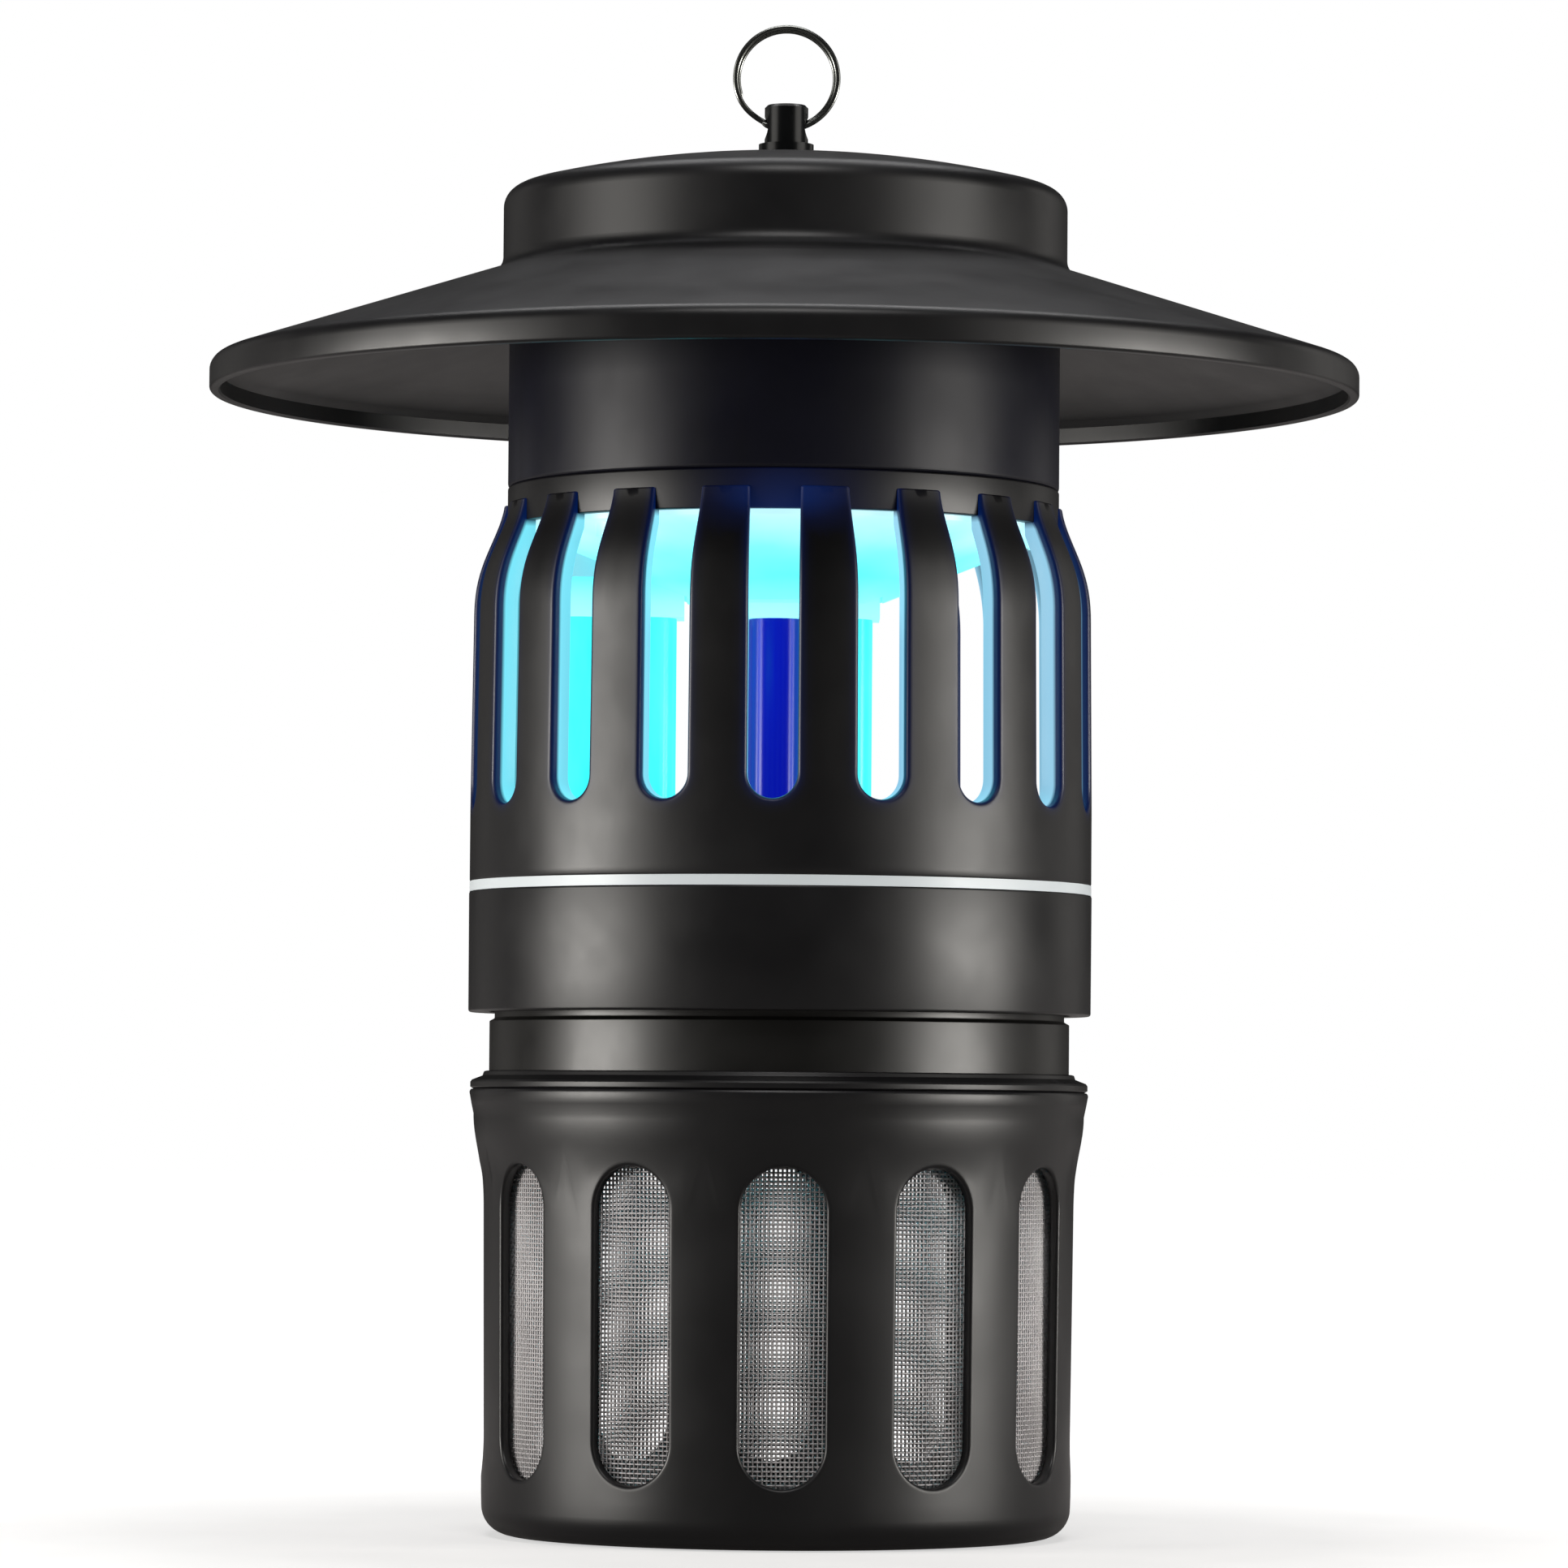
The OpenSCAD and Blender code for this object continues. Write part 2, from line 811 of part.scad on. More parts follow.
roof_hat();
ring_post();
post_washer();
post_nut();
hang_ring();
neck_housing();
cord_gland();
ballast_board();
board_screws();
ballast_choke();
capacitor();
terminal_block();
lamp_plate();
plate_screws();
lamp_sockets();
lamp_bases();
lamp_tubes();
cage_collar();
cage_ribs();
cage_band();
cage_screws();
attractant_funnel();
fan_skirt();
fan_duct();
motor_bracket();
bracket_screws();
motor_can();
motor_end_cap();
motor_stator();
motor_bushes();
motor_lead();
motor_shaft();
motor_rotor();
fan_impeller();
impeller_clip();
basket_seal();
basket_cup();
mesh_liner();
mesh_hoops();
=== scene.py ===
"""Looks of the hanging fan trap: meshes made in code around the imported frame.

Lengths in the shape functions are millimetres and become metres in add_mesh().
Every material is procedural.
"""
import math

import bmesh
import bpy
from mathutils import Matrix, Vector


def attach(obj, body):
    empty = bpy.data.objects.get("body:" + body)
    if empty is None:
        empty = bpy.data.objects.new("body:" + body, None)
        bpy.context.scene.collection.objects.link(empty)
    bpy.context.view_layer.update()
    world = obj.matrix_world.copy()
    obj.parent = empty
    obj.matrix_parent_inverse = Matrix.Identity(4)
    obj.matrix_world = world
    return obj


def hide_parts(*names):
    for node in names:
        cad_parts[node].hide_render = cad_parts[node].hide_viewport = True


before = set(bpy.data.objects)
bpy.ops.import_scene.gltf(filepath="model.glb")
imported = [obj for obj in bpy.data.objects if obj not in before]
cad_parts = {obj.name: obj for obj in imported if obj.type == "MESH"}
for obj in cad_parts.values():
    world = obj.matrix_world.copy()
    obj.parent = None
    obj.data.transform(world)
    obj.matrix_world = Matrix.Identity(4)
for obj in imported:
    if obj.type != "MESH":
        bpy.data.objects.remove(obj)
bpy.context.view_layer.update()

MM = 0.001
TAU = 2 * math.pi

# ---- Sizes, repeated from the CAD, in millimetres ----
HAT_R = 125
BRIM_A = math.radians(18)
DOME_R = 240
NECK_R = 60
WALL = 2.4
BODY_R = 67.5
CAGE_Z = 140.9
NECK_Z = 226.5
BRIM_Z = 271.9
ROOF_TOP = 299.3
DECK_Z = 288
LIP_Z = 246.8
DRUM_R = 61.5
SLOT_Z = 156.8
SHOULDER_Z = 197
RIB_Z = 164.1
RIB_TOP = 222.7
RIB_DEPTH = 5.4
COLLAR_Z = 218
CAGE_WALL = 2.6
SKIRT_Z = 112.6
FLANGE_Z = 138.7
DUCT_R = 62.9
BASKET_H = 96
BASKET_WALL = 2.2
BASE_R = 63.7
BASE_TOP_R = 64.4
BASE_ROUND = 6.2
FLARE_Z = 76
FLARE_H = 14.7
RIM_R = 67.1
RIM_IN = 65.2
EYE_Z = 306
RING_R = 10.9
LAMP_X = (-36.5, 6.1)
LEG = 7.5
TUBE_R = 6
LAMP_END = 147
LAMP_TOP = 200

# ---- Camera, in metres and degrees ----
CAMERA_LENS = 167.7
CAMERA_PLACE = (0.0006, -1.587, 0.0915)
CAMERA_TILT = 92.57
CAMERA_ROLL = 0.45

def make_camera():
    data = bpy.data.cameras.new("camera")
    data.lens = CAMERA_LENS
    data.sensor_width = 36
    camera = bpy.data.objects.new("camera", data)
    bpy.context.scene.collection.objects.link(camera)
    tilt = Matrix.Rotation(math.radians(CAMERA_TILT), 4, "X")
    roll = Matrix.Rotation(math.radians(CAMERA_ROLL), 4, "Z")
    camera.matrix_world = Matrix.Translation(CAMERA_PLACE) @ tilt @ roll
    bpy.context.scene.camera = camera
    return camera


make_camera()


# ---- Mesh helpers ----
def ease(t):
    return (1 - math.cos(math.pi * t)) / 2


def polar(radius, angle, z):
    return (radius * math.cos(angle), radius * math.sin(angle), z)


def arc(cx, cz, radius, start, end, steps):
    """Points of a profile on an arc, from start to end in degrees."""
    angles = [math.radians(start + (end - start) * i / steps) for i in range(steps + 1)]
    return [(cx + radius * math.cos(a), cz + radius * math.sin(a)) for a in angles]


def rounded(corners, steps=4):
    """A closed profile whose corners (r, z, fillet) are rounded."""
    points = []
    count = len(corners)
    for i, (r, z, fillet) in enumerate(corners):
        here = Vector((r, z))
        if fillet == 0:
            points.append((r, z))
            continue
        before = (Vector(corners[i - 1][:2]) - here).normalized()
        after = (Vector(corners[(i + 1) % count][:2]) - here).normalized()
        half = before.angle(after) / 2
        reach = fillet / math.tan(half)
        start = here + before * reach
        end = here + after * reach
        centre = here + (before + after).normalized() * (fillet / math.sin(half))
        a = math.atan2(start.y - centre.y, start.x - centre.x)
        b = math.atan2(end.y - centre.y, end.x - centre.x)
        turn = (b - a + math.pi) % TAU - math.pi
        for k in range(steps + 1):
            t = a + turn * k / steps
            points.append((centre.x + fillet * math.cos(t), centre.y + fillet * math.sin(t)))
    return points


def add_mesh(name, points, faces, material, body, sharp=32, values=None):
    """A piece from points in millimetres, welded, with outward normals and smooth shading."""
    mesh = bpy.data.meshes.new(name)
    mesh.from_pydata([(x * MM, y * MM, z * MM) for x, y, z in points], [], faces)
    for label, numbers in (values or {}).items():
        mesh.attributes.new(label, "FLOAT", "POINT").data.foreach_set("value", numbers)
    work = bmesh.new()
    work.from_mesh(mesh)
    bmesh.ops.remove_doubles(work, verts=work.verts, dist=1e-6)
    flat = [f for f in work.faces if f.calc_area() < 1e-14]
    bmesh.ops.delete(work, geom=flat, context="FACES_ONLY")
    bmesh.ops.recalc_face_normals(work, faces=work.faces)
    work.to_mesh(mesh)
    work.free()
    mesh.shade_smooth()
    mesh.set_sharp_from_angle(angle=math.radians(sharp))
    piece = bpy.data.objects.new(name, mesh)
    bpy.context.scene.collection.objects.link(piece)
    mesh.materials.append(material)
    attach(piece, body)
    return piece


class Shape:
    """Points and faces that several functions add to."""

    def __init__(self):
        self.points = []
        self.faces = []
        self.glow = []
        self.lit = []

    def add(self, points, glow=0.0, lit=0.0):
        """Adds points and says where they start.

        Glow is the lamps' light on an edge, and lit is their light on a wall.
        """
        first = len(self.points)
        self.points.extend(points)
        self.glow.extend([glow] * len(points))
        self.lit.extend([lit] * len(points))
        return first

    def bridge(self, a, b, count, closed=True):
        """Quads between two loops that start at points a and b."""
        for i in range(count if closed else count - 1):
            j = (i + 1) % count
            self.faces.append((a + i, a + j, b + j, b + i))

    def spin(self, profile, angles, closed_profile=True, centre=(0, 0)):
        """A profile turned through a full turn round an upright axis at centre."""
        rows = []
        for r, z in profile:
            points = [polar(r, a, z) for a in angles]
            rows.append(self.add([(x + centre[0], y + centre[1], z) for x, y, z in points]))
        pairs = list(zip(rows, rows[1:]))
        if closed_profile:
            pairs.append((rows[-1], rows[0]))
        for a, b in pairs:
            self.bridge(a, b, len(angles))

    def block(self, profile, start, end, steps):
        """A closed profile turned through part of a turn, with its ends shut."""
        rows = []
        for k in range(steps + 1):
            a = math.radians(start + (end - start) * k / steps)
            rows.append(self.add([polar(r, a, z) for r, z in profile]))
        for a, b in zip(rows, rows[1:]):
            self.bridge(a, b, len(profile))
        self.faces.append(tuple(range(rows[0], rows[0] + len(profile))))
        self.faces.append(tuple(range(rows[-1], rows[-1] + len(profile))))

    def sweep(self, path, ring):
        """A cross-section ring(i, point) carried along a path, with its ends shut."""
        rows = [self.add([tuple(p) for p in ring(i, point)]) for i, point in enumerate(path)]
        size = len(self.points) - rows[-1]
        for a, b in zip(rows, rows[1:]):
            self.bridge(a, b, size)
        self.faces.append(tuple(range(rows[0], rows[0] + size)))
        self.faces.append(tuple(range(rows[-1], rows[-1] + size)))


def turn(count, start=0.0):
    """Evenly spaced angles of a full turn."""
    return [start + TAU * i / count for i in range(count)]


# ---- Material helpers ----
class Nodes:
    """A material with one Principled shader and short ways to add nodes."""

    def __init__(self, name):
        self.material = bpy.data.materials.new(name)
        self.material.use_nodes = True
        self.tree = self.material.node_tree
        self.shader = self.tree.nodes["Principled BSDF"]
        self.coords = self.node("ShaderNodeTexCoord").outputs["Object"]

    def node(self, kind, **settings):
        made = self.tree.nodes.new(kind)
        for key, value in settings.items():
            setattr(made, key, value)
        return made

    def link(self, source, target):
        self.tree.links.new(source, target)

    def put(self, **values):
        """Constant values on the shader's own sockets."""
        for key, value in values.items():
            self.shader.inputs[key.replace("_", " ")].default_value = value

    def noise(self, scale, detail=3.0, stretch=(1, 1, 1), roughness=0.5):
        mapping = self.node("ShaderNodeMapping")
        mapping.inputs["Scale"].default_value = stretch
        self.link(self.coords, mapping.inputs["Vector"])
        texture = self.node("ShaderNodeTexNoise")
        texture.inputs["Scale"].default_value = scale
        texture.inputs["Detail"].default_value = detail
        texture.inputs["Roughness"].default_value = roughness
        self.link(mapping.outputs["Vector"], texture.inputs["Vector"])
        return texture.outputs["Fac"]

    def ramp(self, value, stops):
        made = self.node("ShaderNodeValToRGB")
        while len(made.color_ramp.elements) < len(stops):
            made.color_ramp.elements.new(0.5)
        for element, (place, colour) in zip(made.color_ramp.elements, stops):
            element.position = place
            element.color = (*colour, 1)
        self.link(value, made.inputs["Fac"])
        return made.outputs["Color"]

    def spread(self, value, low, high, from_low=0.3, from_high=0.7):
        made = self.node("ShaderNodeMapRange")
        made.inputs["From Min"].default_value = from_low
        made.inputs["From Max"].default_value = from_high
        made.inputs["To Min"].default_value = low
        made.inputs["To Max"].default_value = high
        self.link(value, made.inputs["Value"])
        return made.outputs["Result"]

    def math(self, kind, a, b=0.0):
        made = self.node("ShaderNodeMath", operation=kind)
        for socket, value in zip(made.inputs, (a, b)):
            if isinstance(value, (int, float)):
                socket.default_value = value
            else:
                self.link(value, socket)
        return made.outputs["Value"]

    def mix(self, fac, a, b):
        made = self.node("ShaderNodeMix", data_type="RGBA")
        self.link(fac, made.inputs["Factor"])
        colours = [socket for socket in made.inputs if socket.type == "RGBA"]
        for socket, value in zip(colours, (a, b)):
            if isinstance(value, tuple):
                socket.default_value = (*value, 1)
            else:
                self.link(value, socket)
        return [socket for socket in made.outputs if socket.type == "RGBA"][0]

    def bump(self, height, distance, strength=1.0, before=None):
        made = self.node("ShaderNodeBump")
        made.inputs["Strength"].default_value = strength
        made.inputs["Distance"].default_value = distance
        self.link(height, made.inputs["Height"])
        if before is not None:
            self.link(before, made.inputs["Normal"])
        return made.outputs["Normal"]

    def axis(self, index):
        split = self.node("ShaderNodeSeparateXYZ")
        self.link(self.coords, split.inputs["Vector"])
        return split.outputs[index]


def moulded(name, dark, light, rough, grain=0.00001, glow=False, specular=0.5):
    """Moulded plastic: slow colour drift, uneven gloss, polished corners and a fine grain.

    With glow, the lamps' light shows on the edges and walls that carry the values glow and lit.
    """
    n = Nodes(name)
    corner = n.node("ShaderNodeNewGeometry").outputs["Pointiness"]
    sharpness = n.spread(corner, 0, 1, 0.51, 0.58)
    wear = n.math("MULTIPLY", sharpness, n.spread(n.noise(90, 3), 0.6, 1.0))
    drift = n.ramp(n.noise(22, 4), [(0.3, dark), (0.7, light)])
    n.link(n.mix(wear, drift, tuple(c * 2.2 for c in light)), n.shader.inputs["Base Color"])
    patch = n.spread(n.noise(60, 3), rough[0], rough[1])
    n.link(n.math("SUBTRACT", patch, n.math("MULTIPLY", wear, 0.14)), n.shader.inputs["Roughness"])
    flow = n.bump(n.noise(140, 2), grain * 2.5, 0.35)
    n.link(n.bump(n.noise(2600, 2, roughness=0.6), grain, 0.6, flow), n.shader.inputs["Normal"])
    n.put(Specular_IOR_Level=specular, IOR=1.5)
    if glow:
        edge = n.node("ShaderNodeAttribute", attribute_name="glow").outputs["Fac"]
        wall = n.node("ShaderNodeAttribute", attribute_name="lit").outputs["Fac"]
        spill_light = n.ramp(edge, [(0.0, (0, 0, 0)), (0.35, (0.0004, 0.002, 0.016)),
                                    (1.0, (0.0012, 0.012, 0.085))])
        across = n.spread(n.axis("X"), 0, 1, -0.055, 0.020)
        washed = n.ramp(across, [(0.0, (0.18, 0.78, 0.94)), (1.0, (0.28, 0.58, 0.78))])
        n.link(n.mix(wall, spill_light, washed), n.shader.inputs["Emission Color"])
        n.put(Emission_Strength=1.0)
    return n.material


def gloss(name, colour, rough, specular=0.5):
    """Polished plastic with faint handling marks."""
    n = Nodes(name)
    n.link(n.ramp(n.noise(30, 3), [(0.3, colour), (0.7, tuple(c * 1.3 for c in colour))]),
           n.shader.inputs["Base Color"])
    n.link(n.spread(n.noise(90, 5), rough[0], rough[1]), n.shader.inputs["Roughness"])
    n.link(n.bump(n.noise(120, 2), 0.00002, 0.15), n.shader.inputs["Normal"])
    n.put(IOR=1.52, Specular_IOR_Level=specular)
    return n.material


def white_plastic(name, dark, light, glow=0.0, levels=None):
    """White plastic with an even cool glow, or levels of light (height in mm, colour)."""
    n = Nodes(name)
    n.link(n.ramp(n.noise(25, 4), [(0.3, dark), (0.7, light)]), n.shader.inputs["Base Color"])
    n.link(n.spread(n.noise(70, 3), 0.32, 0.45), n.shader.inputs["Roughness"])
    n.link(n.bump(n.noise(1800, 2), 0.00001, 0.4), n.shader.inputs["Normal"])
    n.put(IOR=1.5)
    if glow:
        n.put(Emission_Color=(0.75, 0.95, 1.0, 1), Emission_Strength=glow)
    if levels:
        low, high = levels[0][0], levels[-1][0]
        drift = n.math("MULTIPLY", n.math("SUBTRACT", n.noise(45, 3), 0.5), 0.006)
        height = n.spread(n.math("ADD", n.axis("Z"), drift), 0, 1, low * MM, high * MM)
        stops = [((z - low) / (high - low), light_here) for z, light_here in levels]
        n.link(n.ramp(height, stops), n.shader.inputs["Emission Color"])
        n.put(Emission_Strength=1.0)
    return n.material


def metal(name, dark, light, rough, stretch=(1, 1, 1), scale=900.0, bump=0.000006, metallic=1.0):
    """Metal with a drawn or turned grain along the axis that stretch makes small."""
    n = Nodes(name)
    n.link(n.ramp(n.noise(scale * 0.2, 4, stretch), [(0.3, dark), (0.7, light)]),
           n.shader.inputs["Base Color"])
    grain = n.noise(scale, 3, stretch)
    n.link(n.spread(grain, rough[0], rough[1]), n.shader.inputs["Roughness"])
    n.link(n.bump(grain, bump, 0.5), n.shader.inputs["Normal"])
    n.put(Metallic=metallic)
    return n.material


def rubber(name):
    n = Nodes(name)
    n.link(n.ramp(n.noise(80, 4), [(0.3, (0.008, 0.008, 0.008)), (0.7, (0.016, 0.015, 0.015))]),
           n.shader.inputs["Base Color"])
    n.link(n.spread(n.noise(200, 3), 0.5, 0.65), n.shader.inputs["Roughness"])
    n.link(n.bump(n.noise(2200, 3), 0.00002, 0.6), n.shader.inputs["Normal"])
    return n.material


def lamp_glass(name):
    """Lit phosphor behind glass. The right lamp's left leg glows deep blue, as photographed."""
    n = Nodes(name)
    x = n.axis("X")
    right_of = n.math("GREATER_THAN", x, -0.0080)
    left_of = n.math("LESS_THAN", x, 0.0052)
    blue = n.math("MULTIPLY", right_of, left_of)
    powder = n.noise(120, 4, (1, 1, 0.3))
    lit = n.ramp(powder, [(0.3, (0.035, 0.84, 0.88)), (0.7, (0.085, 0.96, 0.96))])
    facing = n.node("ShaderNodeLayerWeight").outputs["Facing"]
    # In the blue leg, the brighter colour at facing 0.19, near the tube's sides, is a painted
    # highlight streak.
    deep = n.ramp(facing, [(0.0, (0.0006, 0.0024, 0.31)), (0.12, (0.0008, 0.0030, 0.30)),
                           (0.19, (0.040, 0.070, 0.52)), (0.30, (0.008, 0.020, 0.30)),
                           (0.75, (0.012, 0.045, 0.30))])
    n.link(n.mix(blue, lit, deep), n.shader.inputs["Emission Color"])
    n.link(n.mix(blue, (0.02, 0.25, 0.28), (0.001, 0.003, 0.08)), n.shader.inputs["Base Color"])
    n.link(n.spread(n.noise(60, 2), 0.16, 0.24), n.shader.inputs["Roughness"])
    n.link(n.bump(n.noise(90, 2, (1, 1, 0.2)), 0.00004, 0.2), n.shader.inputs["Normal"])
    n.put(Emission_Strength=1.0, IOR=1.5, Specular_IOR_Level=0.25)
    return n.material


DARK = (0.0026, 0.0025, 0.0033)
DARKER = (0.0044, 0.0042, 0.0052)
CHARCOAL = moulded("charcoal", DARK, DARKER, (0.36, 0.44))
CAGE_BLACK = moulded("charcoal_cage", DARK, DARKER, (0.36, 0.44), glow=True)
# Painted shade and painted blue light: the neck's charcoal is bluer and a little darker in red and
# green, with duller, weaker gloss, standing for the brim's shadow and the lamps' blue glow.
NECK_SHADED_BLUE = moulded("charcoal_neck_painted_shade", (0.0024, 0.0025, 0.0060), (0.0038, 0.0040, 0.0088),
                     (0.42, 0.50), specular=0.30)
PIANO = gloss("gloss_black", (0.0030, 0.0034, 0.0038), (0.22, 0.28), 0.30)
DUCT_BLACK = gloss("duct_black", (0.0030, 0.0028, 0.0025), (0.34, 0.40))
WHITE = white_plastic("white_plastic", (0.74, 0.80, 0.84), (0.82, 0.88, 0.92), glow=0.035)
SHADED = (0.30, 0.36, 0.40)
SHADED_LIGHT = (0.36, 0.42, 0.46)
DISH_WHITE = white_plastic("white_dish", SHADED, SHADED_LIGHT, levels=[
    (200, (0.20, 0.88, 0.92)), (206, (0.06, 0.94, 0.93)),
    (211, (0.18, 0.94, 0.95)), (217, (0.52, 0.90, 0.98))])
BASE_WHITE = white_plastic("white_base", SHADED, SHADED_LIGHT, levels=[
    (198, (0.33, 0.86, 0.97)), (202, (0.24, 0.88, 0.96)), (207, (0.08, 0.94, 0.93))])
STEEL_RING = metal("ring_steel", (0.24, 0.25, 0.24), (0.34, 0.35, 0.33), (0.20, 0.26),
                   scale=200, bump=0.0000004)
ZINC = metal("zinc_steel", (0.45, 0.46, 0.48), (0.62, 0.63, 0.66), (0.28, 0.42), scale=600)
GAUZE = metal("mesh_steel", (0.52, 0.50, 0.51), (0.66, 0.64, 0.65), (0.55, 0.66),
              scale=300, metallic=0.1)
RUBBER = rubber("black_rubber")
GREEN = gloss("board_green", (0.015, 0.09, 0.03), (0.25, 0.4))
IRON = metal("core_iron", (0.18, 0.15, 0.13), (0.28, 0.24, 0.20), (0.4, 0.6), (1, 1, 12), 500)
BLUE_SLEEVE = gloss("capacitor_blue", (0.02, 0.05, 0.16), (0.2, 0.35))
ALUMINIUM = metal("motor_aluminium", (0.50, 0.51, 0.53), (0.66, 0.67, 0.69), (0.25, 0.4), (1, 1, 8))
BRASS = metal("bush_brass", (0.55, 0.38, 0.14), (0.70, 0.50, 0.22), (0.2, 0.35))
FAN_BLACK = moulded("fan_plastic", (0.010, 0.010, 0.011), (0.016, 0.016, 0.017), (0.3, 0.4))
LAMP = lamp_glass("lamp_glass")

NODE_MATERIALS = {
    "roof_hat": CHARCOAL, "neck_housing": NECK_SHADED_BLUE, "cage_collar": CAGE_BLACK,
    "cage_ribs": CAGE_BLACK, "cage_band": CAGE_BLACK, "fan_skirt": CHARCOAL,
    "basket_cup": CHARCOAL, "ring_post": PIANO, "fan_duct": DUCT_BLACK,
    "attractant_funnel": WHITE, "lamp_plate": DISH_WHITE, "lamp_sockets": WHITE,
    "lamp_bases": BASE_WHITE, "terminal_block": WHITE, "lamp_tubes": LAMP,
    "hang_ring": STEEL_RING, "post_washer": ZINC, "post_nut": ZINC, "board_screws": ZINC,
    "plate_screws": ZINC, "cage_screws": ZINC, "bracket_screws": ZINC, "motor_bracket": ZINC,
    "motor_shaft": ZINC, "impeller_clip": ZINC, "mesh_liner": GAUZE, "mesh_hoops": GAUZE,
    "basket_seal": RUBBER, "cord_gland": RUBBER, "motor_lead": RUBBER,
    "ballast_board": GREEN, "ballast_choke": IRON, "motor_stator": IRON, "motor_rotor": IRON,
    "capacitor": BLUE_SLEEVE, "motor_can": ALUMINIUM, "motor_end_cap": ALUMINIUM,
    "motor_bushes": BRASS, "fan_impeller": FAN_BLACK,
}
for node_name, node_material in NODE_MATERIALS.items():
    for node_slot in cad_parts[node_name].material_slots:
        node_slot.material = node_material


# ---- Roof ----
def brim(r):
    """Height of the brim's upper surface."""
    return BRIM_Z + 1.3 - math.tan(BRIM_A) * (r - DRUM_R - 2.7)


def make_roof():
    lip_round, root_round, edge_round = 3, 4, 4.5
    brim_deg = math.degrees(BRIM_A)
    dome_c = ROOF_TOP - DOME_R
    edge_r = DRUM_R - edge_round
    edge_c = dome_c + math.sqrt((DOME_R - edge_round) ** 2 - edge_r ** 2)
    edge_a = math.degrees(math.atan2(edge_c - dome_c, edge_r))
    hole = 2.7
    top_a = 90 - math.degrees(math.asin(hole / DOME_R))
    skin = WALL / math.cos(BRIM_A)
    in_r = DOME_R - WALL
    foot = 0.8
    outer = [(HAT_R - foot, LIP_Z)]
    outer += arc(HAT_R - foot, LIP_Z + foot, foot, -60, 0, 3)
    outer += arc(HAT_R - lip_round, brim(HAT_R - lip_round) - lip_round / math.cos(BRIM_A),
                 lip_round, 0, 90 - brim_deg, 8)
    outer += [(r, brim(r)) for r in (110, 98, 86, 76)]
    outer += arc(DRUM_R + root_round, brim(DRUM_R + root_round) + root_round / math.cos(BRIM_A),
                 root_round, 270 - brim_deg, 180, 8)
    outer += arc(edge_r, edge_c, edge_round, 0, edge_a, 10)
    outer += arc(0, dome_c, DOME_R, edge_a, top_a, 14)[1:]
    inner = arc(0, dome_c, in_r, 90 - math.degrees(math.asin(hole / in_r)), edge_a, 10)
    inner += arc(edge_r, edge_c, edge_round - WALL, edge_a, 0, 5)
    inner += [(DRUM_R - WALL, brim(DRUM_R - WALL) - skin)]
    inner += [(r, brim(r) - skin) for r in (70, 85, 100, 112)]
    inner += [(HAT_R - WALL - 1.5, brim(HAT_R - WALL - 1.5) - skin)]
    inner += [(HAT_R - WALL, brim(HAT_R - WALL) - skin - 1.2)]
    inner += [(HAT_R - WALL, LIP_Z + 0.4), (HAT_R - WALL + 0.4, LIP_Z)]
    shape = Shape()
    shape.spin(outer + inner, turn(288))
    boss = [(hole, DECK_Z), (8, DECK_Z), (8, ROOF_TOP - WALL), (hole, ROOF_TOP - WALL)]
    shape.spin(boss, turn(48))
    piece = add_mesh("roof_shell", shape.points, shape.faces, CHARCOAL,
                     "housing")
    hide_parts("roof_hat")
    return piece


